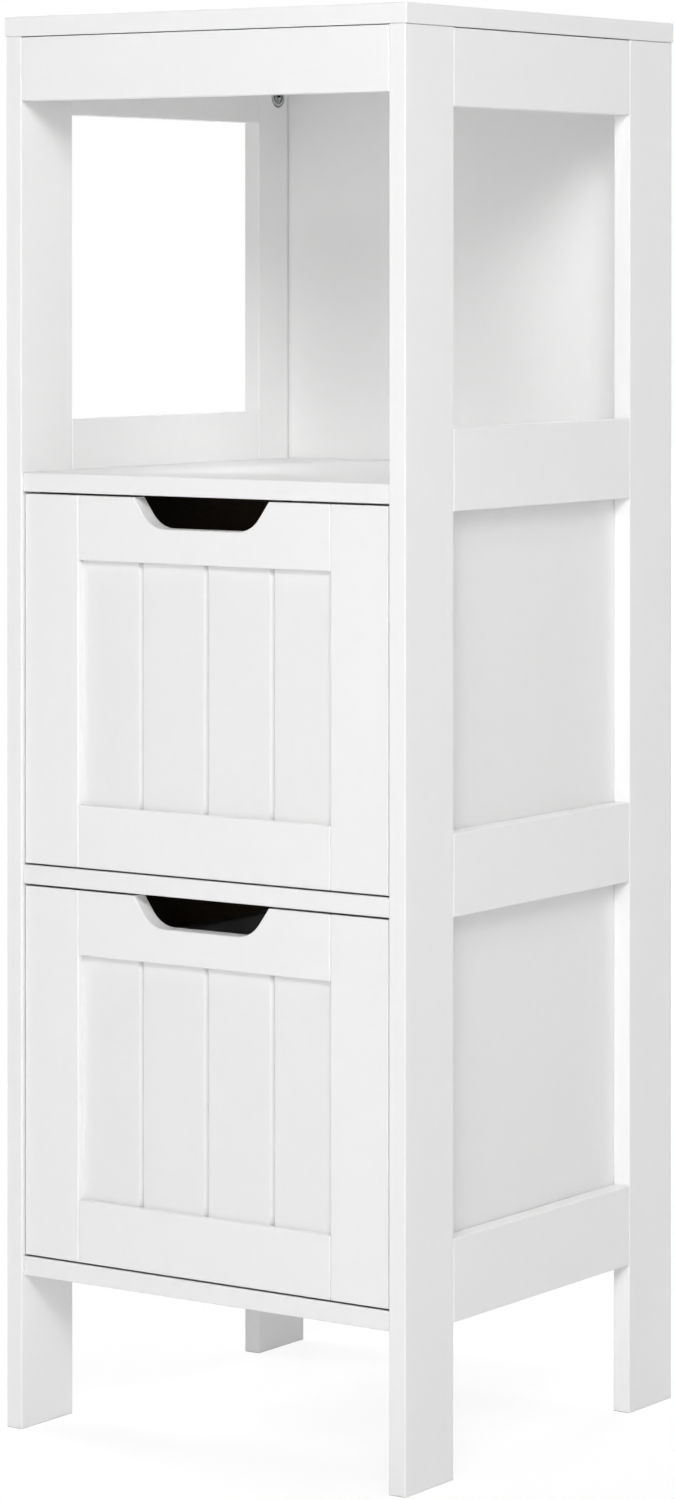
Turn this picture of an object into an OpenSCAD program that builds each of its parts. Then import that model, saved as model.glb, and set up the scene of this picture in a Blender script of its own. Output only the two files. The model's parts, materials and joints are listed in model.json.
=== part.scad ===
// Narrow storage tower: two drawers below, an open compartment above, on four flat legs.
// The origin is on the floor at the middle of the outline. X is to the right, the front
// faces -Y, and Z is up. All sizes are in millimetres.

/* [Overall] */
// Height from the floor to the top surface
total_h = 890; // [800:5:1100]
// Width of the top board
top_w = 306; // [260:1:400]
// Depth of the top board, front to back
top_d = 308; // [270:1:400]
// Thickness of the top board
top_t = 12.5; // [11:0.5:20]
// How far the top board passes the legs at each side
top_over_side = 1; // [0:0.5:6]
// How far the top board passes the legs at front and back
top_over_front = 0.5; // [0:0.5:6]
// Radius of the eased edges of the boards
edge_r = 0.8; // [0.4:0.1:1.4]

/* [Side frames] */
// Thickness of the legs and side rails
leg_t = 12; // [11:0.5:18]
// Width of each leg, front to back
leg_w = 52; // [46:1:64]
// Height of the two top rails
top_rail_h = 47.5; // [44:0.5:60]
// Height of the other six rails
rail_h = 50.5; // [44:0.5:60]
// How far the shelf rails reach below the shelf
shelf_rail_drop = 6.2; // [1:0.1:20]
// How far the middle rails reach below the divider
middle_rail_drop = 4.2; // [1:0.1:20]
// How far the bottom rails reach below the bottom board
bottom_rail_drop = 2.2; // [1:0.1:20]
// Thickness of the front apron
apron_t = 12; // [11:0.5:18]
// Height of the front apron
apron_h = 40; // [36:0.5:60]
// Gap between the top board, which rests on the legs, and the apron and top rails
top_joint_gap = 0.5; // [0.1:0.1:1]

/* [Boards and panels] */
// Thickness of the shelf, the divider and the bottom board
board_t = 12; // [11.5:0.5:18]
// Height of the bottom board's underside above the floor
bottom_board_z = 97.2; // [60:0.1:140]
// Clear height of each drawer bay
bay_h = 235; // [215:1:260]
// Set-back of the boards' front edges from the legs' front faces
board_recess = 2; // [0.5:0.5:6]
// Thickness of the panels that close the sides of the drawer bays
side_panel_t = 3; // [2.5:0.5:5]
// Thickness of the back panel
back_panel_t = 3; // [2.5:0.5:5]
// Distance from the rear faces of the legs to the back panel
back_inset = 15; // [12:0.5:20]
// Depth of the grooves that hold the back panel
back_groove_depth = 5; // [3:0.5:6]
// Clearance in front of the back panel in its grooves
back_groove_gap = 0.8; // [0.3:0.1:1]
// Clearance at the bottom of every panel groove
groove_end_gap = 0.4; // [0.2:0.1:1]

/* [Drawer fronts] */
// Thickness of the drawer fronts' frames
front_t = 12; // [11:0.5:16]
// Mean gap between a drawer front and the leg beside it
front_side_gap = 1.5; // [1.5:0.5:3]
// How far the drawers hang left of the middle
drawer_hang = 0.8; // [0:0.1:1]
// Set-back of the drawer fronts behind the front edges of the boards
front_recess = 0.8; // [0:0.1:3]
// Gap above a drawer front
front_top_gap = 1.3; // [0.8:0.1:3]
// Gap below a drawer front
front_bottom_gap = 1; // [0.6:0.1:3]
// Width of the stiles
stile_w = 42.5; // [34:0.5:56]
// Height of the front's top rail
front_top_rail_h = 40.5; // [36:0.5:60]
// Height of the front's bottom rail
front_bottom_rail_h = 39; // [36:0.5:60]
// Radius of the eased edge along the inner side of the stiles
stile_edge_r = 1.2; // [0.8:0.1:2.5]
// Thickness of the planked panel
plank_panel_t = 5; // [4:0.5:5.5]
// Set-back of the planked panel from the front's face
plank_recess = 4.5; // [2:0.5:5]
// Width of one plank, which is the pitch of the V-grooves
plank_w = 50; // [30:1:80]
// Depth of the V-grooves
vee_depth = 1.9; // [0.8:0.1:2.5]
// Depth of the panel grooves in the stiles and rails
plank_groove_depth = 5; // [3:0.5:6]
// Width of the finger cut-out at its top
notch_w = 103; // [84:1:120]
// How far the finger cut-out lies left of the middle of its front
notch_off = 1.3; // [0:0.1:3]
// Depth of the finger cut-out
notch_depth = 19; // [14:0.5:24]
// Slope of the cut-out's sides, in degrees from level
notch_angle = 55; // [45:1:70]
// Radius of the cut-out's lower corners
notch_r = 20; // [10:1:30]
// Radius of the eased edges of the cut-out
notch_edge_r = 1; // [0.5:0.1:1.5]

/* [Drawer boxes] */
// Gap between a closed drawer box and the back panel
box_back_gap = 13; // [4:1:60]
// Height of the box's sides and back
box_h = 190; // [120:1:196]
// Thickness of the box's sides and back
box_t = 12; // [10:0.5:15]
// Mean clearance between the box and the side panel
box_side_gap = 1.5; // [1.3:0.1:2.5]
// Clearance between the box and the board that carries it
box_run_gap = 0.3; // [0.2:0.1:0.5]
// Clearance between a closed front and the side panels that stop it
stop_gap = 0.3; // [0.2:0.1:1]
// Thickness of the drawer bottom
base_t = 3; // [2.5:0.5:5]
// Height of the drawer bottom above the lower edge of the sides
base_lift = 8; // [6:0.5:14]
// Depth of the grooves that hold the drawer bottom
base_groove_depth = 5; // [3:0.5:6]
// Clearance above the drawer bottom in its grooves
base_groove_gap = 0.3; // [0.2:0.1:0.5]

/* [Fittings] */
// Diameter of the dowels
dowel_d = 6; // [5:0.5:7]
// Length of the rail dowels and the front frames' dowels
dowel_l = 30; // [26:1:34]
// Depth that the rail dowels enter the legs, and the frame dowels the stiles
dowel_in = 12; // [9:1:14]
// Length of the dowels that enter a board's face
short_dowel_l = 24; // [20:1:28]
// Depth that the short dowels enter the face
face_depth = 7; // [5:0.5:8]
// Spacing of the two dowels at each end of a side rail
rail_dowel_pitch = 32; // [24:1:34]
// Spacing of the two dowels at each end of the apron
apron_dowel_pitch = 20; // [14:1:24]
// Wood left between a front frame's dowel and the groove beside it
dowel_cover = 2.5; // [2:0.5:3]
// Depth of the upper frame dowel's centre below the top of a drawer front
frame_dowel_drop = 12; // [8:1:16]
// Height of the lower box dowels above the sides' lower edge
box_dowel_rise = 32; // [24:1:60]
// Depth of the upper box dowels below the sides' upper edge
box_dowel_drop = 40; // [20:1:60]
// Clearance round each dowel
dowel_gap = 0.05; // [0.03:0.01:0.1]
// Diameter of the cam nuts
cam_d = 15; // [12:0.5:15]
// Depth of the cam nuts
cam_depth = 9.2; // [8:0.1:9.5]
// Clearance round each cam nut
cam_gap = 0.15; // [0.1:0.05:0.3]
// Clearance behind each cam nut
cam_back_gap = 0.3; // [0.1:0.1:0.5]
// Distance from a leg's outer edge, front or rear, to its cam fittings
cam_from_edge = 30; // [29:0.5:32]
// Distance from the leg's top end to the centre of its cam nut
leg_cam_drop = 29.5; // [24:0.5:34]
// Distance from a board's end to the centre of its cam nut
board_cam_in = 24; // [20:0.5:34]
// Diameter of the cam bolt's thread
bolt_thread_d = 5; // [4:0.5:6]
// Length of the cam bolt's thread in the board it screws into
bolt_thread_l = 8.5; // [7:0.5:9]
// Diameter of the cam bolt's shank
bolt_shank_d = 4; // [3:0.5:4.5]
// Diameter of the cam bolt's head
bolt_head_d = 6; // [5.5:0.1:6.5]
// Length of the cam bolt's head
bolt_head_l = 3; // [2:0.5:4]
// Diameter of the channel that the cam bolt passes through
bolt_channel_d = 7; // [6.8:0.1:7.5]
// Diameter of the drawer screws' shank
screw_d = 3.5; // [3:0.5:4]
// Length of the drawer screws
screw_l = 32; // [28:1:40]
// Diameter of the drawer screws' heads
screw_head_d = 7.5; // [7:0.5:8]
// Depth of the screws' conical heads
screw_head_l = 2.6; // [2:0.1:3.5]
// Height of the lower drawer screws above the sides' lower edge
screw_rise = 40; // [24:1:60]
// Depth of the upper drawer screws below the sides' upper edge
screw_drop = 40; // [20:1:60]
// Depth at which a screw head sits below the wood's face
screw_sink = 0.3; // [0.2:0.1:0.6]
// Clearance round the screws and the bolts' threads
thread_gap = 0.05; // [0.03:0.01:0.1]

/* [Hidden] */
$fn = 48;

// Colours: painted boards, thin panels, beech dowels and zinc fittings
paint = "white";
panel_paint = "whitesmoke";
beech = "burlywood";
zinc = "silver";

// How far a cutter starts outside the face that it enters
over = 1;
LEFT = -1;
RIGHT = 1;
FRONT = -1;
REAR = 1;

// The frame: outer and inner planes of the legs, and heights
leg_h = total_h - top_t;
outer_x = top_w / 2 - top_over_side;
inner_x = outer_x - leg_t;
leg_mid_x = outer_x - leg_t / 2;
outer_y = top_d / 2 - top_over_front;
leg_in_y = outer_y - leg_w;
rail_l = 2 * leg_in_y;
top_rail_z = leg_h - top_joint_gap - top_rail_h;
apron_z = leg_h - top_joint_gap - apron_h;

// The boards, from the bottom up
board_pitch = bay_h + board_t;
divider_z = bottom_board_z + board_pitch;
shelf_z = divider_z + board_pitch;
board_front_y = -outer_y + board_recess;
board_zs = [bottom_board_z, divider_z, shelf_z];
upper_bay_z = divider_z + board_t;
lower_bay_z = bottom_board_z + board_t;
bottom_rail_z = bottom_board_z - bottom_rail_drop;
middle_rail_z = divider_z - middle_rail_drop;
shelf_rail_z = shelf_z - shelf_rail_drop;

// The back panel
back_y = outer_y - back_inset - back_panel_t;

// The drawer fronts and boxes, closed
front_y = board_front_y + front_recess;
front_back_y = front_y + front_t;
front_half = inner_x - front_side_gap;
stile_in_x = front_half - stile_w;
front_h = bay_h - front_top_gap - front_bottom_gap;
plank_y = front_y + plank_recess;
plank_open_h = front_h - front_top_rail_h - front_bottom_rail_h;
plank_tongue = plank_groove_depth - groove_end_gap;
box_half = inner_x - side_panel_t - box_side_gap;
box_in_x = box_half - box_t;
box_back_y = back_y - box_back_gap;
box_l = box_back_y - front_back_y;
base_tongue = base_groove_depth - groove_end_gap;
side_panel_y = front_back_y + stop_gap;

// Fittings
dowel_hole_d = dowel_d + 2 * dowel_gap;
dowel_end_gap = 0.5;
cam_y = outer_y - cam_from_edge;
cam_hole_d = cam_d + 2 * cam_gap;
cam_hole_depth = cam_depth + cam_back_gap;
top_cam_z = leg_h - leg_cam_drop;
bolt_hole_d = bolt_thread_d + 2 * thread_gap;
tip_gap = 0.5;
cam_mouth_d = bolt_head_d + 0.4;
// How far short of the cam nut's centre a bolt ends
bolt_short = 1;
cross_w = 1.6;
cross_l = 7;
cross_depth = 2;
// The cone at the middle of a cam nut's cross
cross_cone_d = 4.4;
cross_cone_depth = 2.4;
// The eased rim of a cam nut, and the shallow ring round its cross
cam_chamfer = 0.7;
cam_rim = 2.3;
cam_ring_w = 1.3;
cam_ring_depth = 0.5;
// Distances of the top dowels from the legs' outer edges
front_top_dowel_in = 20;
rear_top_dowel_in = 9;
// Heights of the box dowels and screws above the sides' lower edge
box_dowel_zs = [box_dowel_rise, box_h - box_dowel_drop];
screw_zs = [screw_rise, box_h - screw_drop];
// Steps in which the cut-out's edge is rounded
notch_steps = 3;
sliver = 0.01;

// Mirrors what is drawn at the right rear to the named side and end
module at_corner(side, end) {
    mirror([side < 0 ? 1 : 0, 0, 0])
        mirror([0, end < 0 ? 1 : 0, 0])
            children();
}

// The waste outside a rounded corner of radius r at the origin
module corner_waste(r) {
    difference() {
        translate([-over, -over])
            square(r + over);
        translate([r, r])
            circle(r);
    }
}

// A rectangle from the origin, with a radius for each corner:
// low left, low right, high left, high right
module rounded_rect(w, h, r) {
    difference() {
        square([w, h]);
        corner_waste(r[0]);
        translate([w, 0])
            mirror([1, 0])
                corner_waste(r[1]);
        translate([0, h])
            mirror([0, 1])
                corner_waste(r[2]);
        translate([w, h])
            rotate(180)
                corner_waste(r[3]);
    }
}

// A board from its low corner, with all twelve edges eased
module board(at, size, r = edge_r) {
    translate(at)
        intersection() {
            linear_extrude(size[2])
                rounded_rect(size[0], size[1], [r, r, r, r]);
            rotate([90, 0, 90])
                linear_extrude(size[0])
                    rounded_rect(size[1], size[2], [r, r, r, r]);
            translate([0, size[1], 0])
                rotate([90, 0, 0])
                    linear_extrude(size[1])
                        rounded_rect(size[0], size[2], [r, r, r, r]);
        }
}

// A plain sheet from its low corner
module sheet(at, size) {
    translate(at)
        cube(size);
}

// A round bar that starts at a place and runs along a direction
module bar(at, dir, d, l) {
    translate(at)
        rotate([0, acos(dir[2]), atan2(dir[1], dir[0])])
            cylinder(d = d, h = l);
}

// The cutter for a round hole of a given depth below a face, along a direction
module hole(at, dir, d, depth) {
    bar(at - over * dir, dir, d, depth + over);
}

// Where the dowels sit in a side rail of height h: two levels about its middle
function rail_dowel_zs(z, h) = [for (s = [-1, 1]) z + h / 2 + s * rail_dowel_pitch / 2];

// All the levels of the rail dowels in one leg
leg_dowel_zs = concat(
    rail_dowel_zs(bottom_rail_z, rail_h),
    rail_dowel_zs(middle_rail_z, rail_h),
    rail_dowel_zs(shelf_rail_z, rail_h),
    rail_dowel_zs(top_rail_z, top_rail_h)
);
apron_dowel_zs = [for (s = [-1, 1]) apron_z + apron_h / 2 + s * apron_dowel_pitch / 2];
apron_mid_y = outer_y - apron_t / 2;
function top_dowel_y(end) = outer_y - (end == FRONT ? front_top_dowel_in : rear_top_dowel_in);

// A leg, drawn at the right rear and mirrored to its corner
module leg(side, end) {
    color(paint)
        at_corner(side, end)
            difference() {
                board([inner_x, leg_in_y, 0], [leg_t, leg_w, leg_h]);
                leg_holes(end);
                if (end == REAR)
                    back_groove();
                if (end == FRONT)
                    apron_dowel_holes(inner_x, [1, 0, 0], face_depth);
            }
}

// The dowel holes, the cam nut's pocket and the bolt holes that every leg has
module leg_holes(end) {
    for (z = leg_dowel_zs)
        hole([leg_mid_x, leg_in_y, z], [0, 1, 0], dowel_hole_d, dowel_in + dowel_end_gap);
    hole([inner_x, cam_y, top_cam_z], [1, 0, 0], cam_hole_d, cam_hole_depth);
    hole([leg_mid_x, cam_y, leg_h], [0, 0, -1], bolt_channel_d, leg_cam_drop);
    hole(
        [leg_mid_x, top_dowel_y(end), leg_h],
        [0, 0, -1],
        dowel_hole_d,
        short_dowel_l - face_depth
    );
    for (z = board_zs)
        hole([inner_x, cam_y, z + board_t / 2], [1, 0, 0], bolt_hole_d, bolt_thread_l + tip_gap);
}

// The groove for the back panel, from the bottom board to the leg's top end
module back_groove() {
    translate([inner_x - over, back_y - back_groove_gap, bottom_board_z])
        cube([
            back_groove_depth + over,
            back_panel_t + back_groove_gap,
            leg_h - bottom_board_z + over
        ]);
}

// The apron's dowel holes from a plane at x, drawn at the rear and mirrored with the leg
module apron_dowel_holes(x, dir, depth) {
    for (z = apron_dowel_zs)
        hole([x, apron_mid_y, z], dir, dowel_hole_d, depth + dowel_end_gap);
}

// A side rail between the two legs of a side
module side_rail(side, z, h) {
    color(paint)
        at_corner(side, REAR)
            difference() {
                board([inner_x, -leg_in_y, z], [leg_t, rail_l, h]);
                for (end = [FRONT, REAR], level = rail_dowel_zs(z, h))
                    hole(
                        [leg_mid_x, end * leg_in_y, level],
                        [0, -end, 0],
                        dowel_hole_d,
                        dowel_l - dowel_in + dowel_end_gap
                    );
            }
}

module front_apron() {
    color(paint)
        difference() {
            board([-inner_x, -outer_y, apron_z], [2 * inner_x, apron_t, apron_h]);
            for (side = [LEFT, RIGHT])
                at_corner(side, FRONT)
                    apron_dowel_holes(inner_x, [-1, 0, 0], short_dowel_l - face_depth);
        }
}

module top_board() {
    color(paint)
        difference() {
            board([-top_w / 2, -top_d / 2, leg_h], [top_w, top_d, top_t]);
            for (side = [LEFT, RIGHT], end = [FRONT, REAR])
                at_corner(side, end) {
                    hole(
                        [leg_mid_x, cam_y, leg_h],
                        [0, 0, 1],
                        bolt_hole_d,
                        bolt_thread_l + tip_gap
                    );
                    hole(
                        [leg_mid_x, top_dowel_y(end), leg_h],
                        [0, 0, 1],
                        dowel_hole_d,
                        face_depth + dowel_end_gap
                    );
                }
        }
}

// A board between the two side frames, with a cam nut's pocket under each corner
module cross_board(z) {
    color(paint)
        difference() {
            board([-inner_x, board_front_y, z], [2 * inner_x, back_y - board_front_y, board_t]);
            for (side = [LEFT, RIGHT], end = [FRONT, REAR])
                at_corner(side, end) {
                    hole([inner_x - board_cam_in, cam_y, z], [0, 0, 1], cam_hole_d, cam_hole_depth);
                    hole([inner_x, cam_y, z + board_t / 2], [-1, 0, 0], bolt_channel_d, board_cam_in);
                }
        }
}

// A thin panel inside the legs, between two boards
module side_panel(side, z) {
    color(panel_paint)
        at_corner(side, REAR)
            sheet(
                [inner_x - side_panel_t, side_panel_y, z],
                [side_panel_t, back_y - side_panel_y, bay_h]
            );
}

module back_panel() {
    half = inner_x + back_groove_depth - groove_end_gap;
    color(panel_paint)
        sheet([-half, back_y, bottom_board_z], [2 * half, back_panel_t, leg_h - bottom_board_z]);
}

// A cam nut with its face at the origin and its body along +Z. The mouth that takes the
// bolt's head is towards +X at the height mouth_z, and is open at the back.
module cam_nut(mouth_z) {
    difference() {
        union() {
            cylinder(d1 = cam_d - 2 * cam_chamfer, d2 = cam_d, h = cam_chamfer);
            translate([0, 0, cam_chamfer])
                cylinder(d = cam_d, h = cam_depth - cam_chamfer);
        }
        cam_ring();
        cam_cross();
        translate([0, 0, mouth_z])
            rotate([0, 90, 0])
                cylinder(d = cam_mouth_d, h = cam_d);
        translate([0, -cam_mouth_d / 2, mouth_z])
            cube([cam_d, cam_mouth_d, cam_depth]);
    }
}

// The cutter for the shallow ring in a cam nut's face
module cam_ring() {
    outer_d = cam_d - 2 * cam_rim;
    difference() {
        translate([0, 0, -over])
            cylinder(d = outer_d, h = over + cam_ring_depth);
        translate([0, 0, -2 * over])
            cylinder(d = outer_d - 2 * cam_ring_w, h = 3 * over + cam_ring_depth);
    }
}

// The cutter for the cross that a screwdriver turns a cam nut by
module cam_cross() {
    for (turn = [0, 90])
        rotate(turn)
            translate([-cross_l / 2, -cross_w / 2, -over])
                cube([cross_l, cross_w, cross_depth + over]);
    cylinder(d1 = cross_cone_d, d2 = cross_w / 2, h = cross_cone_depth);
}

// A cam bolt whose thread ends at the origin and whose head lies at +Z.
// reach is the distance from the mouth of its channel to the centre of the cam nut.
module cam_bolt(reach) {
    shank_l = reach - bolt_short;
    cylinder(d = bolt_thread_d, h = bolt_thread_l);
    translate([0, 0, bolt_thread_l])
        cylinder(d = bolt_shank_d, h = shank_l);
    translate([0, 0, bolt_thread_l + shank_l - bolt_head_l])
        cylinder(d = bolt_head_d, h = bolt_head_l);
}

// Puts its children at each of the four cam nuts in the legs
module at_leg_cams() {
    for (side = [LEFT, RIGHT], end = [FRONT, REAR])
        at_corner(side, end)
            translate([inner_x, cam_y, top_cam_z])
                rotate([0, 90, 0])
                    rotate(180)
                        children();
}

// Puts its children at each of the cam nuts in the three boards
module at_board_cams() {
    for (z = board_zs, side = [LEFT, RIGHT], end = [FRONT, REAR])
        at_corner(side, end)
            translate([inner_x - board_cam_in, cam_y, z])
                children();
}

module cam_nuts() {
    color(zinc) {
        at_leg_cams()
            cam_nut(leg_t / 2);
        at_board_cams()
            cam_nut(board_t / 2);
    }
}

module cam_bolts() {
    color(zinc) {
        for (side = [LEFT, RIGHT], end = [FRONT, REAR])
            at_corner(side, end)
                translate([leg_mid_x, cam_y, leg_h + bolt_thread_l])
                    rotate([180, 0, 0])
                        cam_bolt(leg_cam_drop);
        at_board_cams()
            translate([board_cam_in + bolt_thread_l, 0, board_t / 2])
                rotate([0, -90, 0])
                    cam_bolt(board_cam_in);
    }
}

module rail_dowels() {
    color(beech)
        for (side = [LEFT, RIGHT], end = [FRONT, REAR], z = leg_dowel_zs)
            at_corner(side, end)
                bar([leg_mid_x, leg_in_y + dowel_in, z], [0, -1, 0], dowel_d, dowel_l);
}

module apron_dowels() {
    color(beech)
        for (side = [LEFT, RIGHT], z = apron_dowel_zs)
            at_corner(side, FRONT)
                bar(
                    [inner_x + face_depth, apron_mid_y, z],
                    [-1, 0, 0],
                    dowel_d,
                    short_dowel_l - dowel_end_gap
                );
}

module top_dowels() {
    color(beech)
        for (side = [LEFT, RIGHT], end = [FRONT, REAR])
            at_corner(side, end)
                bar(
                    [leg_mid_x, top_dowel_y(end), leg_h + face_depth],
                    [0, 0, -1],
                    dowel_d,
                    short_dowel_l - dowel_end_gap
                );
}

// Puts a drawer's piece where the drawer hangs, a little to the left of the middle
module hung() {
    translate([-drawer_hang, 0, 0])
        children();
}

// The height of the box's lower edge in a bay whose floor is at bay_z
function box_z(bay_z) = bay_z + box_run_gap;

// The low edge of a drawer front in that bay
function front_z(bay_z) = bay_z + front_bottom_gap;

// The groove round the planked panel, as one block that the frame's pieces are cut by
module plank_groove(bay_z) {
    half = stile_in_x + plank_groove_depth;
    translate([
        -half,
        plank_y,
        front_z(bay_z) + front_bottom_rail_h - plank_groove_depth
    ])
        cube([2 * half, plank_panel_t, plank_open_h + 2 * plank_groove_depth]);
}

// The groove for the drawer bottom, as one block that the front and the box are cut by
module base_groove(bay_z) {
    half = box_in_x + base_groove_depth;
    translate([
        -half,
        front_back_y - base_groove_depth + groove_end_gap,
        box_z(bay_z) + base_lift
    ])
        cube([
            2 * half,
            box_l - box_t + 2 * base_groove_depth - groove_end_gap,
            base_t + base_groove_gap
        ]);
}

// The levels of the dowels between stiles and rails: clear of the drawer bottom's groove,
// and clear of the planked panel's groove above and below it
dowel_keep = dowel_cover + dowel_d / 2;
function frame_dowel_levels(bay_z) = [
    box_z(bay_z) + base_lift + base_t + base_groove_gap + dowel_keep,
    front_z(bay_z) + front_bottom_rail_h - plank_groove_depth - dowel_keep,
    front_z(bay_z) + front_h - front_top_rail_h + plank_groove_depth + dowel_keep,
    front_z(bay_z) + front_h - frame_dowel_drop
];

// The holes for those dowels, drawn for the right side
module frame_dowel_holes(bay_z) {
    for (z = frame_dowel_levels(bay_z)) {
        hole(
            [stile_in_x, front_y + front_t / 2, z],
            [1, 0, 0],
            dowel_hole_d,
            dowel_in + dowel_end_gap
        );
        hole(
            [stile_in_x, front_y + front_t / 2, z],
            [-1, 0, 0],
            dowel_hole_d,
            dowel_l - dowel_in + dowel_end_gap
        );
    }
}

// The holes for the dowels between a stile and the box side behind it
module box_dowel_holes(bay_z) {
    for (z = box_dowel_zs) {
        hole(
            [box_half - box_t / 2, front_back_y, box_z(bay_z) + z],
            [0, -1, 0],
            dowel_hole_d,
            face_depth + dowel_end_gap
        );
        hole(
            [box_half - box_t / 2, front_back_y, box_z(bay_z) + z],
            [0, 1, 0],
            dowel_hole_d,
            short_dowel_l - face_depth
        );
    }
}

// A stile of a drawer front, with the inner edge of its face eased more
module drawer_stile(bay_z, side) {
    color(paint)
        at_corner(side, REAR)
            difference() {
                translate([stile_in_x, front_y, front_z(bay_z)])
                    intersection() {
                        linear_extrude(front_h)
                            rounded_rect(
                                stile_w,
                                front_t,
                                [stile_edge_r, edge_r, edge_r, edge_r]
                            );
                        rotate([90, 0, 90])
                            linear_extrude(stile_w)
                                rounded_rect(front_t, front_h, [edge_r, edge_r, edge_r, edge_r]);
                    }
                plank_groove(bay_z);
                base_groove(bay_z);
                frame_dowel_holes(bay_z);
                box_dowel_holes(bay_z);
            }
}

// The outline of the finger cut-out in a rail whose top is at Y = 0, grown by g all round
module notch_outline(g) {
    top_half = notch_w / 2 + g / sin(notch_angle);
    depth = notch_depth + g;
    low_half = top_half - depth / tan(notch_angle);
    rise = over + g;
    r = notch_r + g;
    // Distance along the floor and the side from their corner to the ends of its arc
    reach = r * tan(notch_angle / 2);
    difference() {
        polygon([
            [-low_half, -depth],
            [low_half, -depth],
            [top_half + rise / tan(notch_angle), rise],
            [-top_half - rise / tan(notch_angle), rise]
        ]);
        for (flip = [0, 1])
            mirror([flip, 0])
                difference() {
                    polygon([
                        [low_half - reach, -depth - over],
                        [low_half + over, -depth - over],
                        [
                            low_half + reach * cos(notch_angle) + over,
                            -depth + reach * sin(notch_angle) - over * cos(notch_angle)
                        ],
                        [
                            low_half + reach * cos(notch_angle),
                            -depth + reach * sin(notch_angle)
                        ],
                        [low_half - reach, -depth]
                    ]);
                    translate([low_half - reach, r - depth])
                        circle(r);
                }
    }
}

// How far the cut-out's edge is eased at step i, and how far in from the face that lies
function ease_out(i) = notch_edge_r * (1 - sin(90 * i / notch_steps));
function ease_in(i) = notch_edge_r * (1 - cos(90 * i / notch_steps));

// The eased edge of the cut-out, with the face at Z = 0 and the rail at +Z
module notch_ease() {
    for (i = [0 : notch_steps - 1])
        hull() {
            translate([0, 0, i == 0 ? -over : ease_in(i)])
                linear_extrude(sliver)
                    notch_outline(ease_out(i), $fn = 32);
            translate([0, 0, ease_in(i + 1)])
                linear_extrude(sliver)
                    notch_outline(ease_out(i + 1), $fn = 32);
        }
}

// The cutter for the finger cut-out, in place
module notch(bay_z) {
    translate([-notch_off, front_y, front_z(bay_z) + front_h])
        rotate([90, 0, 0])
            mirror([0, 0, 1]) {
                translate([0, 0, -over])
                    linear_extrude(front_t + 2 * over)
                        notch_outline(0);
                notch_ease();
                translate([0, 0, front_t])
                    mirror([0, 0, 1])
                        notch_ease();
            }
}

module drawer_top_rail(bay_z) {
    color(paint)
        difference() {
            board(
                [-stile_in_x, front_y, front_z(bay_z) + front_h - front_top_rail_h],
                [2 * stile_in_x, front_t, front_top_rail_h]
            );
            notch(bay_z);
            plank_groove(bay_z);
            for (side = [LEFT, RIGHT])
                at_corner(side, REAR)
                    frame_dowel_holes(bay_z);
        }
}

module drawer_bottom_rail(bay_z) {
    color(paint)
        difference() {
            board(
                [-stile_in_x, front_y, front_z(bay_z)],
                [2 * stile_in_x, front_t, front_bottom_rail_h]
            );
            plank_groove(bay_z);
            base_groove(bay_z);
            for (side = [LEFT, RIGHT])
                at_corner(side, REAR)
                    frame_dowel_holes(bay_z);
        }
}

// The recessed panel, with V-grooves a plank apart, one of them at the middle
module drawer_plank_panel(bay_z) {
    half = stile_in_x + plank_tongue;
    high = plank_open_h + 2 * plank_tongue;
    grooves = floor((stile_in_x - vee_depth) / plank_w);
    color(paint)
        translate([0, plank_y, front_z(bay_z) + front_bottom_rail_h - plank_tongue])
            difference() {
                translate([-half, 0, 0])
                    cube([2 * half, plank_panel_t, high]);
                for (i = [-grooves : grooves])
                    translate([i * plank_w, 0, -over])
                        linear_extrude(high + 2 * over)
                            polygon([
                                [0, vee_depth],
                                [-vee_depth - over, -over],
                                [vee_depth + over, -over]
                            ]);
            }
}

// The screw holes in a box side and in the back's end, drawn for the right side
module screw_holes(bay_z) {
    for (z = screw_zs)
        translate([box_half, box_back_y - box_t / 2, box_z(bay_z) + z])
            rotate([0, -90, 0]) {
                translate([0, 0, -over])
                    cylinder(d = screw_head_d + 2 * thread_gap, h = over + screw_sink);
                translate([0, 0, screw_sink])
                    cylinder(
                        d1 = screw_head_d + 2 * thread_gap,
                        d2 = screw_d + 2 * thread_gap,
                        h = screw_head_l
                    );
                cylinder(d = screw_d + 2 * thread_gap, h = screw_sink + screw_l + tip_gap);
            }
}

module drawer_side(bay_z, side) {
    color(paint)
        at_corner(side, REAR)
            difference() {
                board([box_in_x, front_back_y, box_z(bay_z)], [box_t, box_l, box_h]);
                base_groove(bay_z);
                box_dowel_holes(bay_z);
                screw_holes(bay_z);
            }
}

module drawer_back(bay_z) {
    color(paint)
        difference() {
            board([-box_in_x, box_back_y - box_t, box_z(bay_z)], [2 * box_in_x, box_t, box_h]);
            base_groove(bay_z);
            for (side = [LEFT, RIGHT])
                at_corner(side, REAR)
                    screw_holes(bay_z);
        }
}

module drawer_base(bay_z) {
    half = box_in_x + base_tongue;
    color(panel_paint)
        sheet(
            [-half, front_back_y - base_tongue, box_z(bay_z) + base_lift],
            [2 * half, box_l - box_t + 2 * base_tongue, base_t]
        );
}

// The dowels of one drawer: between stiles and rails, and between stiles and box sides
module drawer_dowels(bay_z) {
    color(beech)
        for (side = [LEFT, RIGHT])
            at_corner(side, REAR) {
                for (z = frame_dowel_levels(bay_z))
                    bar(
                        [stile_in_x + dowel_in, front_y + front_t / 2, z],
                        [-1, 0, 0],
                        dowel_d,
                        dowel_l
                    );
                for (z = box_dowel_zs)
                    bar(
                        [box_half - box_t / 2, front_back_y - face_depth, box_z(bay_z) + z],
                        [0, 1, 0],
                        dowel_d,
                        short_dowel_l - dowel_end_gap
                    );
            }
}

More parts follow.
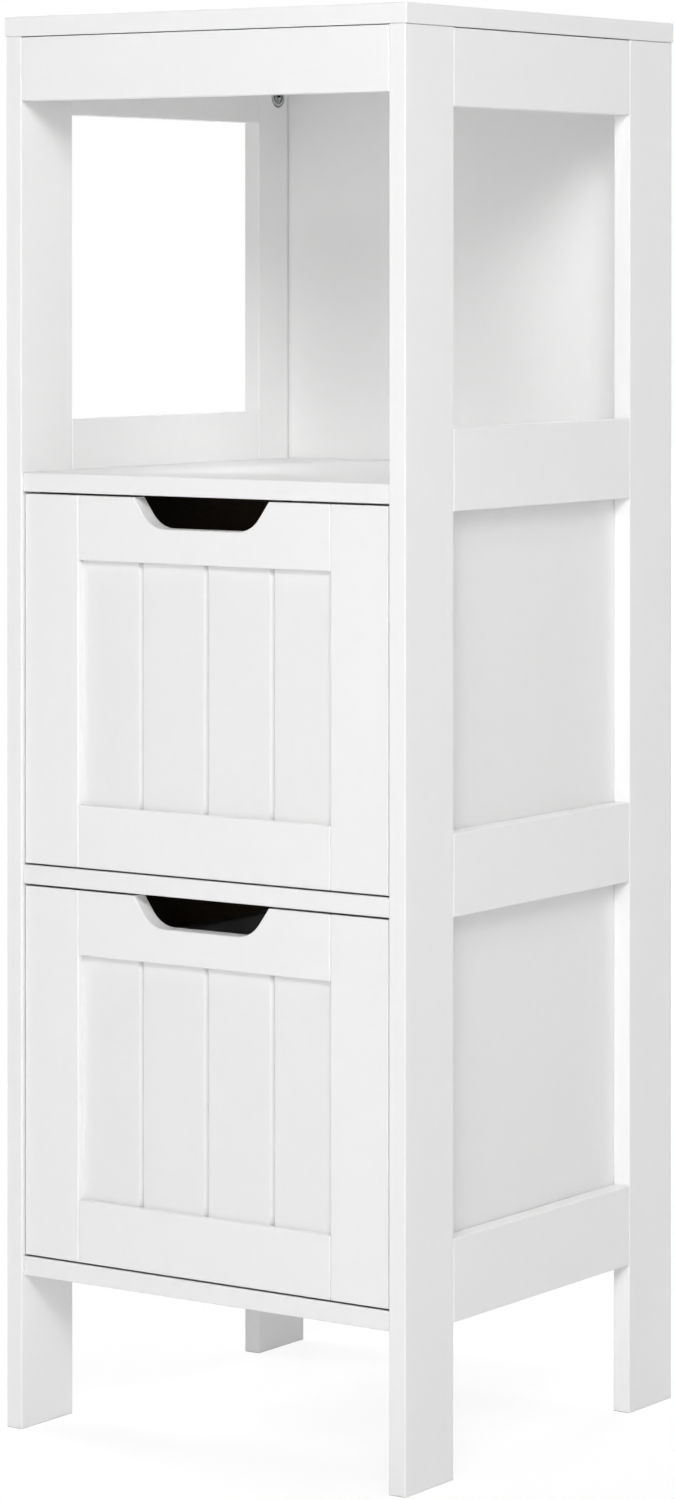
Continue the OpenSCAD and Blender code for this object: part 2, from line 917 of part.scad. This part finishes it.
// A countersunk screw whose head's face is at the origin and whose tip lies at +Z
module screw() {
    difference() {
        union() {
            cylinder(d1 = screw_head_d, d2 = screw_d, h = screw_head_l);
            cylinder(d = screw_d, h = screw_l);
        }
        for (turn = [0, 90])
            rotate(turn)
                translate([-screw_head_d / 4, -cross_w / 4, -over])
                    cube([screw_head_d / 2, cross_w / 2, cross_depth / 2 + over]);
    }
}

module drawer_screws(bay_z) {
    color(zinc)
        for (side = [LEFT, RIGHT], z = screw_zs)
            at_corner(side, REAR)
                translate([box_half - screw_sink, box_back_y - box_t / 2, box_z(bay_z) + z])
                    rotate([0, -90, 0])
                        screw();
}

top_board();
leg(LEFT, FRONT);  // front_left_leg
leg(RIGHT, FRONT);  // front_right_leg
leg(LEFT, REAR);  // rear_left_leg
leg(RIGHT, REAR);  // rear_right_leg
side_rail(LEFT, top_rail_z, top_rail_h);  // left_top_rail
side_rail(LEFT, shelf_rail_z, rail_h);  // left_shelf_rail
side_rail(LEFT, middle_rail_z, rail_h);  // left_middle_rail
side_rail(LEFT, bottom_rail_z, rail_h);  // left_bottom_rail
side_rail(RIGHT, top_rail_z, top_rail_h);  // right_top_rail
side_rail(RIGHT, shelf_rail_z, rail_h);  // right_shelf_rail
side_rail(RIGHT, middle_rail_z, rail_h);  // right_middle_rail
side_rail(RIGHT, bottom_rail_z, rail_h);  // right_bottom_rail
front_apron();
cross_board(shelf_z);  // shelf_board
cross_board(divider_z);  // divider_board
cross_board(bottom_board_z);  // bottom_board
side_panel(LEFT, upper_bay_z);  // left_upper_panel
side_panel(LEFT, lower_bay_z);  // left_lower_panel
side_panel(RIGHT, upper_bay_z);  // right_upper_panel
side_panel(RIGHT, lower_bay_z);  // right_lower_panel
back_panel();
cam_nuts();
cam_bolts();
rail_dowels();
apron_dowels();
top_dowels();
hung() drawer_stile(upper_bay_z, LEFT);  // upper_drawer_left_stile
hung() drawer_stile(upper_bay_z, RIGHT);  // upper_drawer_right_stile
hung() drawer_top_rail(upper_bay_z);  // upper_drawer_top_rail
hung() drawer_bottom_rail(upper_bay_z);  // upper_drawer_bottom_rail
hung() drawer_plank_panel(upper_bay_z);  // upper_drawer_plank_panel
hung() drawer_side(upper_bay_z, LEFT);  // upper_drawer_left_side
hung() drawer_side(upper_bay_z, RIGHT);  // upper_drawer_right_side
hung() drawer_back(upper_bay_z);  // upper_drawer_back
hung() drawer_base(upper_bay_z);  // upper_drawer_base
hung() drawer_dowels(upper_bay_z);  // upper_drawer_dowels
hung() drawer_screws(upper_bay_z);  // upper_drawer_screws
hung() drawer_stile(lower_bay_z, LEFT);  // lower_drawer_left_stile
hung() drawer_stile(lower_bay_z, RIGHT);  // lower_drawer_right_stile
hung() drawer_top_rail(lower_bay_z);  // lower_drawer_top_rail
hung() drawer_bottom_rail(lower_bay_z);  // lower_drawer_bottom_rail
hung() drawer_plank_panel(lower_bay_z);  // lower_drawer_plank_panel
hung() drawer_side(lower_bay_z, LEFT);  // lower_drawer_left_side
hung() drawer_side(lower_bay_z, RIGHT);  // lower_drawer_right_side
hung() drawer_back(lower_bay_z);  // lower_drawer_back
hung() drawer_base(lower_bay_z);  // lower_drawer_base
hung() drawer_dowels(lower_bay_z);  // lower_drawer_dowels
hung() drawer_screws(lower_bay_z);  // lower_drawer_screws
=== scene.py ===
"""The looks of a white bathroom storage tower: camera, light, floor and painted surfaces.

All lengths are in metres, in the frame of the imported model: +Z up, the front towards -Y.
"""
import json
import math

import bpy
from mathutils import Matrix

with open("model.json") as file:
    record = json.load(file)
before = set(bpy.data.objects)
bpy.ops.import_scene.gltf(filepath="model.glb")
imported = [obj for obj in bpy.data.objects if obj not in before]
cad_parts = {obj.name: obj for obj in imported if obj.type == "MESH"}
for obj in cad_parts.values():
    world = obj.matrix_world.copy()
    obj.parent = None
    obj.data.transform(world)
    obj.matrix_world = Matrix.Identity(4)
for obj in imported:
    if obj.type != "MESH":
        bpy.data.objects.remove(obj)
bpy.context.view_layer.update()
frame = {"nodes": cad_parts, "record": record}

# ---------------------------------------------------------------- camera and picture
IMAGE_H_PX = 1500
# The point of the picture straight ahead of the camera is this far below its upper edge
AHEAD_Y_PX = 298.9
FOCAL_PX = 4753.3
SENSOR_MM = 36.0
CLIP_END = 100.0
CAMERA_AT = (1.7366, -2.4902, 0.7328)
CAMERA_TURN_DEG = 34.962
CAMERA_TILT_DEG = -0.390

# ---------------------------------------------------------------- light
# The point that all lamps look at, and how far from it they stand
AIM = (0.0, 0.0, 0.48)
LAMP_DISTANCE = 3.2
BACKDROP_LEVEL = 1.0

# Each soft box: its azimuth and elevation in degrees seen from the tower, its width and
# height in metres, and its power in watts. Azimuth 0 is in front and 90 is to the right.
SOFT_BOXES = {
    "key_box": (37.0, 30.0, 1.6, 1.0, 53.5),
    "front_low_box": (18.0, 8.0, 1.4, 1.0, 22.0),
    "right_low_box": (79.0, 17.0, 1.0, 1.0, 10.5),
    "right_rear_box": (140.0, 52.0, 1.0, 1.0, 17.0),
    "rear_box": (180.0, 18.0, 1.4, 1.0, 28.0),
    "left_box": (-90.0, 30.0, 1.4, 1.0, 51.5),
    "left_rear_box": (-130.0, 52.0, 1.0, 1.0, 20.0),
}

# ---------------------------------------------------------------- colours
WHITE = (1.0, 1.0, 1.0, 1.0)
BLACK = (0.0, 0.0, 0.0, 1.0)
PAINT = (0.906, 0.905, 0.904)
THIN_PAINT = (0.873, 0.872, 0.871)
INNER_PAINT = (0.66, 0.66, 0.655)
# The bare hardboard on the inner side of the panels beside the drawers
HARDBOARD_LIGHT = (0.27, 0.18, 0.11)
HARDBOARD_DARK = (0.17, 0.105, 0.06)
BEECH_LIGHT = (0.62, 0.43, 0.26)
BEECH_DARK = (0.42, 0.26, 0.14)
ZINC = (0.62, 0.62, 0.63)
FLOOR_COLOUR = (0.90, 0.90, 0.90)

# ---------------------------------------------------------------- floor
# Half the length of its sides
FLOOR_HALF = 14.0
FLOOR_ROUGHNESS = 0.9
# The darkest and lightest tone of its paper, as shares of its colour
FLOOR_TONES = (0.99, 1.01)
# The share of its own white that shows near the tower, and how bright that white is
FLOOR_WHITE_SHARE = 0.72
FLOOR_WHITE_LEVEL = 1.10
# How far from the tower's middle the shadow starts to fade, and where it has faded out
SHADOW_FULL_R = 0.45
SHADOW_GONE_R = 1.5

# ---------------------------------------------------------------- grain and relief
# How many cells of noise there are to the metre in each kind of detail
DRIFT_PER_M = 5.0
MOTTLE_PER_M = 160.0
WIPE_PER_M = 22.0
PEEL_PER_M = 420.0
FIBRE_PER_M = 2400.0
HARDBOARD_PER_M = 900.0
BEECH_PER_M = 900.0
BLOTCH_PER_M = 260.0
SCRATCH_PER_M = 3200.0
PAPER_PER_M = 30.0
# The values that most noise lies between
NOISE_LOW = 0.3
NOISE_HIGH = 0.7
# The noise values at which grain is at its lightest and at its darkest
GRAIN_CONTRAST = (0.35, 0.65)
# The darkest that paint gets by its slow drift and by its fine mottle
DRIFT_LEAST = 0.985
MOTTLE_LEAST = 0.992
# How deep the coat's peel, the board's fibres, the beech's grain and the scratches are
PEEL_DEPTH = 0.00012
FIBRE_DEPTH = 0.00004
BEECH_DEPTH = 0.0001
SCRATCH_DEPTH = 0.00006
# How strongly the last two of them show, from 0 to 1
BEECH_RELIEF = 0.4
SCRATCH_RELIEF = 0.35

# ---------------------------------------------------------------- gloss
PAINT_IOR = 1.48
BEECH_ROUGHNESS = (0.55, 0.75)
ZINC_ROUGHNESS = (0.26, 0.44)

# ---------------------------------------------------------------- edges
BEVEL_SAMPLES = 4
# The radius to which painted edges look rounded, and how far wear reaches in from an edge
EDGE_ROUND = 0.0004
PAINT_EDGE_REACH = 0.0009
ZINC_EDGE_REACH = 0.0005
# How alike the rounded and the flat normal are, as a cosine, where a spot is all edge and
# where it is none
EDGE_ALL = 0.90
EDGE_NONE = 0.995
# Rubbed paint is halfway to this level. The share of it on edges, and how much smoother
RUBBED_LEVEL = 0.93
PAINT_RUB = 0.25
EDGE_SMOOTHER = 0.05
# The zinc's dull, bright and rubbed tones as shares of its colour, and how rubbed it is
ZINC_DULL = 0.8
ZINC_BRIGHT = 1.1
ZINC_RUBBED = 1.25
ZINC_RUB = 0.3

# ---------------------------------------------------------------- painted shade in gaps and grooves
CREASE_SAMPLES = 12
# How near another surface must be, how open to the air a spot is where its painted shade
# is deepest and where there is none, and how much darker it is painted where deepest
BOARD_GAP_SHADE = {"reach": 0.004, "shut": 0.05, "clear": 0.42, "depth": 0.92}
PLANK_GROOVE_SHADE = {"reach": 0.006, "shut": 0.30, "clear": 0.85, "depth": 0.28}
ZINC_RECESS_SHADE = {"reach": 0.0015, "shut": 0.50, "clear": 0.95, "depth": 0.95}
# The share of it on the boards' upright faces, and on planked faces that look to the front
UPRIGHT_SHARE = 0.1
PLANK_FLAT_SHARE = 0.4

# ---------------------------------------------------------------- which way a face looks
# A face looks fully along an axis where its normal has at least this much of it
FACING_FULL = 0.5
# A face looks inwards where its place in X times its normal in X is below minus this
INWARD_LIMIT = 0.05
# The side of a dowel looks along X where its normal has more than this of X
DOWEL_SIDE_LIMIT = 0.35
# The grain of beech is squeezed to this along its length, so its flecks come out long
BEECH_SQUEEZE = 0.08

# The Mix node's sockets by number, because those of its data types share their names
MIX_SHARE = 0
MIX_VALUES = (2, 3)
MIX_VALUE_RESULT = 0
MIX_COLOURS = (6, 7)
MIX_COLOUR_RESULT = 2


class Nodes:
    """A short way to add nodes to a material or world and link them."""

    def __init__(self, owner):
        owner.use_nodes = True
        self.tree = owner.node_tree
        self.tree.nodes.clear()

    def add(self, kind, settings=None, **inputs):
        """Adds a node; settings are its attributes, and inputs are values or other sockets."""
        node = self.tree.nodes.new(kind)
        for name, value in (settings or {}).items():
            setattr(node, name, value)
        for name, value in inputs.items():
            self.put(node, name.replace("_", " "), value)
        return node

    def put(self, node, name, value):
        """Sets an input by its name or index, to a value or to another node's socket."""
        socket = node.inputs[name]
        if isinstance(value, bpy.types.NodeSocket):
            self.tree.links.new(value, socket)
        else:
            socket.default_value = value

    def place(self):
        """Where a spot is on its own object."""
        return self.add("ShaderNodeTexCoord").outputs["Object"]

    def parts(self, vector):
        """The X, Y and Z of a vector, by name."""
        return self.add("ShaderNodeSeparateXYZ", Vector=vector).outputs

    def vector_maths(self, operation, *values):
        """A vector math node on one or two vectors."""
        node = self.add("ShaderNodeVectorMath", {"operation": operation})
        for i, value in enumerate(values):
            self.put(node, i, value)
        return node.outputs

    def maths(self, operation, *values):
        """A math node on one to three values or sockets."""
        node = self.add("ShaderNodeMath", {"operation": operation})
        for i, value in enumerate(values):
            self.put(node, i, value)
        return node.outputs["Value"]

    def noise(self, vector, per_metre, detail=2.0, roughness=0.5):
        """Noise with this many cells to the metre."""
        node = self.add(
            "ShaderNodeTexNoise",
            Vector=vector, Scale=per_metre, Detail=detail, Roughness=roughness,
        )
        return node.outputs["Fac"]

    def spread(self, value, low, high, from_low=NOISE_LOW, from_high=NOISE_HIGH, curve="LINEAR"):
        """Maps from_low to from_high onto low to high, and what lies beyond onto its end."""
        node = self.add(
            "ShaderNodeMapRange", {"interpolation_type": curve},
            Value=value, From_Min=from_low, From_Max=from_high, To_Min=low, To_Max=high,
        )
        return node.outputs["Result"]

    def mix(self, data_type, share, sockets, pair):
        """A Mix node between the two values or colours of a pair."""
        node = self.add("ShaderNodeMix", {"data_type": data_type})
        self.put(node, MIX_SHARE, share)
        for socket, value in zip(sockets, pair):
            self.put(node, socket, value)
        return node.outputs

    def mix_colour(self, share, first, second):
        """The colour between first and second."""
        return self.mix("RGBA", share, MIX_COLOURS, (first, second))[MIX_COLOUR_RESULT]

    def mix_value(self, share, first, second):
        """The value between first and second."""
        return self.mix("FLOAT", share, MIX_VALUES, (first, second))[MIX_VALUE_RESULT]

    def bump(self, height, strength, depth, **under):
        """The normal of this relief, on top of the normal under it if one is given."""
        node = self.add(
            "ShaderNodeBump", Height=height, Strength=strength, Distance=depth, **under
        )
        return node.outputs["Normal"]

    def end(self, shader):
        """Gives the material this shader."""
        self.add("ShaderNodeOutputMaterial", Surface=shader)


def rgba(colour, level=1.0):
    """A colour as a node takes it, made lighter or darker by this level."""
    return (colour[0] * level, colour[1] * level, colour[2] * level, 1.0)


def edge_share(nodes, reach):
    """1 on eased edges and corners, 0 on flat faces, from how far the rounded normal turns."""
    rounded = nodes.add("ShaderNodeBevel", {"samples": BEVEL_SAMPLES}, Radius=reach)
    flat = nodes.add("ShaderNodeNewGeometry")
    alike = nodes.vector_maths(
        "DOT_PRODUCT", rounded.outputs["Normal"], flat.outputs["Normal"]
    )
    return nodes.spread(alike["Value"], 1.0, 0.0, EDGE_ALL, EDGE_NONE)


def painted_crease_shade(nodes, reach, shut, clear, depth):
    """Painted shade in crevices: 0 where a spot is open to the air by at least clear, depth
    where by at most shut.
    """
    hidden = nodes.add(
        "ShaderNodeAmbientOcclusion", {"samples": CREASE_SAMPLES}, Distance=reach
    )
    deep = nodes.spread(hidden.outputs["AO"], 1.0, 0.0, shut, clear)
    return nodes.maths("MULTIPLY", deep, depth)


def facing_share(nodes, axis, least):
    """1 on faces that look along an axis, either way, down to least on those square to it."""
    normal = nodes.add("ShaderNodeNewGeometry").outputs["Normal"]
    along = nodes.maths("ABSOLUTE", nodes.parts(normal)[axis])
    return nodes.spread(along, least, 1.0, 0.0, FACING_FULL)


def board_gap_shade(nodes):
    """Painted shade in the gaps between boards: only deep in them, and mostly on faces that look
    up or down.
    """
    painted_shade = painted_crease_shade(nodes, **BOARD_GAP_SHADE)
    return nodes.maths("MULTIPLY", painted_shade, facing_share(nodes, "Z", UPRIGHT_SHARE))


def plank_groove_shade(nodes):
    """Painted shade in the grooves between planks, and less of it on the flat faces beside them.
    """
    painted_shade = painted_crease_shade(nodes, **PLANK_GROOVE_SHADE)
    return nodes.maths("MULTIPLY", painted_shade, facing_share(nodes, "X", PLANK_FLAT_SHARE))


def hardboard(nodes, where):
    """The colour of bare hardboard: pressed brown fibres with darker flecks."""
    flecks = nodes.noise(where, HARDBOARD_PER_M, detail=4.0, roughness=0.7)
    share = nodes.spread(flecks, 0.0, 1.0, *GRAIN_CONTRAST)
    return nodes.mix_colour(share, rgba(HARDBOARD_LIGHT), rgba(HARDBOARD_DARK))


def inward_share(nodes, where):
    """1 on upright faces that look towards the tower's middle plane, 0 on all others."""
    normal = nodes.add("ShaderNodeTexCoord").outputs["Normal"]
    outward = nodes.maths("MULTIPLY", nodes.parts(where)["X"], nodes.parts(normal)["X"])
    return nodes.maths("LESS_THAN", outward, -INWARD_LIMIT)


def paint_coat(nodes, where, colour):
    """Paint with a slow drift of its tone over a board and the fine mottle of spraying."""
    drift = nodes.noise(where, DRIFT_PER_M)
    mottle = nodes.noise(where, MOTTLE_PER_M, detail=3.0)
    tone = nodes.maths(
        "MULTIPLY",
        nodes.spread(drift, DRIFT_LEAST, 1.0),
        nodes.spread(mottle, MOTTLE_LEAST, 1.0),
    )
    return nodes.mix_colour(tone, BLACK, rgba(colour))


def paint_gloss(nodes, where, edges, roughness):
    """Roughness as patchy as on a wiped surface, and a little smoother on eased edges."""
    wiped = nodes.noise(where, WIPE_PER_M, detail=3.0)
    smoother = nodes.maths("MULTIPLY", edges, EDGE_SMOOTHER)
    return nodes.maths("SUBTRACT", nodes.spread(wiped, *roughness), smoother)


def paint_relief(nodes, where, peel, fibre):
    """The peel of the coat, the board's fibres under it, and rounded edges."""
    rounded = nodes.add("ShaderNodeBevel", {"samples": BEVEL_SAMPLES}, Radius=EDGE_ROUND)
    fibres = nodes.bump(
        nodes.noise(where, FIBRE_PER_M, detail=3.0, roughness=0.7),
        fibre, FIBRE_DEPTH, Normal=rounded.outputs["Normal"],
    )
    return nodes.bump(
        nodes.noise(where, PEEL_PER_M, detail=1.5), peel, PEEL_DEPTH, Normal=fibres
    )


def painted_wood(
    name, colour, roughness, peel, fibre,
    rub=PAINT_RUB, shade_in_gaps=board_gap_shade, bare_inside=False,
):
    """Satin paint on board, with rubbed edges and painted shade where boards meet.

    Roughness is its least and its most. Bare inside, the faces that look towards the
    tower's middle plane are hardboard without paint.
    """
    material = bpy.data.materials.new(name)
    nodes = Nodes(material)
    where = nodes.place()
    edges = edge_share(nodes, PAINT_EDGE_REACH)

    body = paint_coat(nodes, where, colour)
    if bare_inside:
        body = nodes.mix_colour(inward_share(nodes, where), body, hardboard(nodes, where))
    rubbed = rgba([(part + RUBBED_LEVEL) / 2 for part in colour])
    worn = nodes.mix_colour(nodes.maths("MULTIPLY", edges, rub), body, rubbed)

    shader = nodes.add(
        "ShaderNodeBsdfPrincipled",
        # Shade in gaps and creases is painted into the base colour here, darkening it towards
        # black
        Base_Color=nodes.mix_colour(shade_in_gaps(nodes), worn, BLACK),
        Roughness=paint_gloss(nodes, where, edges, roughness),
        IOR=PAINT_IOR,
        Normal=paint_relief(nodes, where, peel, fibre),
    )
    nodes.end(shader.outputs["BSDF"])
    return material


def beech_grain(nodes):
    """Grain and short flecks along X, or along Y where a dowel's side looks along X.

    The side of a dowel that lies along X never looks along X, so its grain keeps to X.
    The grain of upright dowels isn't along them.
    """
    where = nodes.place()
    grains = []
    for squeeze in ((BEECH_SQUEEZE, 1.0, 1.0), (1.0, BEECH_SQUEEZE, 1.0)):
        stretched = nodes.vector_maths("MULTIPLY", where, squeeze)["Vector"]
        grains.append(nodes.noise(stretched, BEECH_PER_M, detail=4.0, roughness=0.65))
    normal = nodes.add("ShaderNodeTexCoord").outputs["Normal"]
    side = nodes.maths("ABSOLUTE", nodes.parts(normal)["X"])
    along_y = nodes.maths("GREATER_THAN", side, DOWEL_SIDE_LIMIT)
    return nodes.mix_value(along_y, *grains)


def beech():
    """Turned beech dowels."""
    material = bpy.data.materials.new("beech")
    nodes = Nodes(material)
    grain = beech_grain(nodes)
    share = nodes.spread(grain, 0.0, 1.0, *GRAIN_CONTRAST)
    shader = nodes.add(
        "ShaderNodeBsdfPrincipled",
        Base_Color=nodes.mix_colour(share, rgba(BEECH_LIGHT), rgba(BEECH_DARK)),
        Roughness=nodes.spread(grain, *BEECH_ROUGHNESS),
        Normal=nodes.bump(grain, BEECH_RELIEF, BEECH_DEPTH),
    )
    nodes.end(shader.outputs["BSDF"])
    return material


def zinc():
    """Zinc plate: fine scratches, slightly varied gloss, and painted shade in its recesses."""
    material = bpy.data.materials.new("zinc")
    nodes = Nodes(material)
    where = nodes.place()
    scratch = nodes.noise(where, SCRATCH_PER_M, detail=4.0, roughness=0.7)
    blotch = nodes.spread(nodes.noise(where, BLOTCH_PER_M, detail=3.0), 0.0, 1.0)
    plate = nodes.mix_colour(blotch, rgba(ZINC, ZINC_DULL), rgba(ZINC, ZINC_BRIGHT))
    rub = nodes.maths("MULTIPLY", edge_share(nodes, ZINC_EDGE_REACH), ZINC_RUB)
    worn = nodes.mix_colour(rub, plate, rgba(ZINC, ZINC_RUBBED))
    shader = nodes.add(
        "ShaderNodeBsdfPrincipled",
        # Shade in the recesses is painted into the base colour here, darkening it towards black
        Base_Color=nodes.mix_colour(painted_crease_shade(nodes, **ZINC_RECESS_SHADE), worn, BLACK),
        Metallic=1.0,
        Roughness=nodes.spread(scratch, *ZINC_ROUGHNESS),
        Normal=nodes.bump(scratch, SCRATCH_RELIEF, SCRATCH_DEPTH),
    )
    nodes.end(shader.outputs["BSDF"])
    return material


def dress(materials):
    """Gives every node of the model its material."""
    for row in frame["record"]["subparts"]:
        slots = frame["nodes"][row["node"]].data.materials
        material = materials[row["material_slot"]]
        if not slots:
            slots.append(material)
        for i in range(len(slots)):
            slots[i] = material


def add_camera():
    """A camera that stands where the photograph's did, shifted to frame its picture."""
    data = bpy.data.cameras.new("camera")
    data.sensor_width = SENSOR_MM
    data.lens = FOCAL_PX / IMAGE_H_PX * SENSOR_MM
    data.shift_y = (AHEAD_Y_PX - IMAGE_H_PX / 2) / IMAGE_H_PX
    data.clip_end = CLIP_END
    camera = bpy.data.objects.new("camera", data)
    camera.location = CAMERA_AT
    camera.rotation_euler = (
        math.radians(90 + CAMERA_TILT_DEG),
        0.0,
        math.radians(CAMERA_TURN_DEG),
    )
    bpy.context.scene.collection.objects.link(camera)
    bpy.context.scene.camera = camera


def seen_directly(nodes):
    """1 for rays from the camera, a mirror or a glass, 0 for rays that carry light."""
    rays = nodes.add("ShaderNodeLightPath").outputs
    either = nodes.maths("MAXIMUM", rays["Is Camera Ray"], rays["Is Glossy Ray"])
    return nodes.maths("MAXIMUM", either, rays["Is Transmission Ray"])


def add_world():
    """A white backdrop for what looks at it; the lamps alone carry the light."""
    world = bpy.data.worlds.new("studio")
    bpy.context.scene.world = world
    nodes = Nodes(world)
    strength = nodes.maths("MULTIPLY", seen_directly(nodes), BACKDROP_LEVEL)
    backdrop = nodes.add("ShaderNodeBackground", Color=WHITE, Strength=strength)
    nodes.add("ShaderNodeOutputWorld", Surface=backdrop.outputs["Background"])


def add_soft_boxes():
    """The lamps. Gloss and metal show the backdrop and floor but not the lamps, whose glare
    would burn out level faces that are seen from low down."""
    for name, (azimuth, elevation, wide, high, watts) in SOFT_BOXES.items():
        around = math.radians(azimuth)
        above = math.radians(elevation)
        data = bpy.data.lights.new(name, "AREA")
        data.shape = "RECTANGLE"
        data.size = wide
        data.size_y = high
        data.energy = watts
        lamp = bpy.data.objects.new(name, data)
        lamp.location = (
            AIM[0] + LAMP_DISTANCE * math.sin(around) * math.cos(above),
            AIM[1] - LAMP_DISTANCE * math.cos(around) * math.cos(above),
            AIM[2] + LAMP_DISTANCE * math.sin(above),
        )
        lamp.rotation_euler = (math.radians(90) - above, 0.0, around)
        lamp.visible_glossy = False
        bpy.context.scene.collection.objects.link(lamp)


def pale_floor():
    """Matt paper that shows some of its own white near the tower, and only that far away."""
    material = bpy.data.materials.new("pale_floor")
    nodes = Nodes(material)
    where = nodes.place()
    grain = nodes.noise(where, PAPER_PER_M, detail=3.0)
    darkest, lightest = (rgba(FLOOR_COLOUR, tone) for tone in FLOOR_TONES)
    paper = nodes.add(
        "ShaderNodeBsdfPrincipled",
        Base_Color=nodes.mix_colour(grain, darkest, lightest),
        Roughness=FLOOR_ROUGHNESS,
    )
    glow = nodes.add("ShaderNodeEmission", Color=WHITE, Strength=FLOOR_WHITE_LEVEL)

    away = nodes.vector_maths("LENGTH", where)["Value"]
    white = nodes.spread(
        away, FLOOR_WHITE_SHARE, 1.0, SHADOW_FULL_R, SHADOW_GONE_R, "SMOOTHSTEP"
    )
    mix = nodes.add("ShaderNodeMixShader")
    nodes.put(mix, 0, nodes.maths("MULTIPLY", seen_directly(nodes), white))
    nodes.put(mix, 1, paper.outputs["BSDF"])
    nodes.put(mix, 2, glow.outputs["Emission"])
    nodes.end(mix.outputs["Shader"])
    return material


def add_floor():
    """A pale floor that reads as white away from the tower and keeps its soft shadow."""
    corners = [
        (-FLOOR_HALF, -FLOOR_HALF, 0.0),
        (FLOOR_HALF, -FLOOR_HALF, 0.0),
        (FLOOR_HALF, FLOOR_HALF, 0.0),
        (-FLOOR_HALF, FLOOR_HALF, 0.0),
    ]
    mesh = bpy.data.meshes.new("floor")
    mesh.from_pydata(corners, [], [(0, 1, 2, 3)])
    mesh.materials.append(pale_floor())
    floor = bpy.data.objects.new("floor", mesh)
    bpy.context.scene.collection.objects.link(floor)


bpy.context.scene.view_settings.view_transform = "Standard"
add_camera()
add_world()
add_soft_boxes()
add_floor()

dress({
    "painted_boards": painted_wood(
        "painted_boards", PAINT, roughness=(0.34, 0.42), peel=0.25, fibre=0.15
    ),
    "thin_panels": painted_wood(
        "thin_panels", THIN_PAINT, roughness=(0.36, 0.46), peel=0.20, fibre=0.20,
        bare_inside=True,
    ),
    "drawer_fronts": painted_wood(
        "drawer_fronts", PAINT, roughness=(0.32, 0.40), peel=0.25, fibre=0.12
    ),
    "plank_panels": painted_wood(
        "plank_panels", THIN_PAINT, roughness=(0.34, 0.42), peel=0.25, fibre=0.15,
        rub=0.0, shade_in_gaps=plank_groove_shade,
    ),
    "drawer_boxes": painted_wood(
        "drawer_boxes", INNER_PAINT, roughness=(0.44, 0.56), peel=0.20, fibre=0.30
    ),
    "beech_dowels": beech(),
    "zinc_fittings": zinc(),
})
